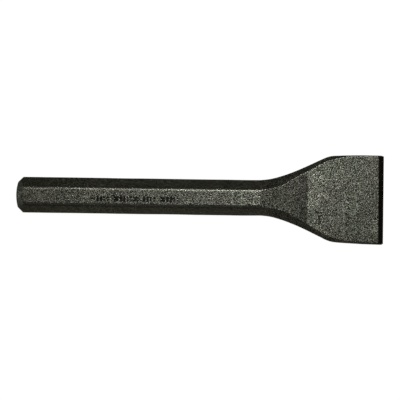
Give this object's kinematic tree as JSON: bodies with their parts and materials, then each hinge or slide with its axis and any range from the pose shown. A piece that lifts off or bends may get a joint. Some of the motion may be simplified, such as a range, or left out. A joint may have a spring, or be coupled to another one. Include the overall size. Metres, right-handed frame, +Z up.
{
  "type": "brick bolster chisel",
  "caption": "Forged steel bolster chisel for brick: hexagonal shank with a crowned, chamfered struck end, flaring to a wide, thin blade with a ground cutting edge.",
  "frame": {"origin": "on the surface that the chisel lies on, under the middle of its length and of its width", "axes": "+X from the struck end to the cutting edge, +Y across the blade, +Z up, square to the blade's broad faces"},
  "size_m": [0.1826, 0.0444, 0.0159],
  "materials": {
    "oxide_steel": "olive-black oxide over a shot-blasted forged surface, satin, with bare edges"
  },
  "bodies": {
    "root": {"forged_chisel": "oxide_steel"}
  },
  "joints": []
}
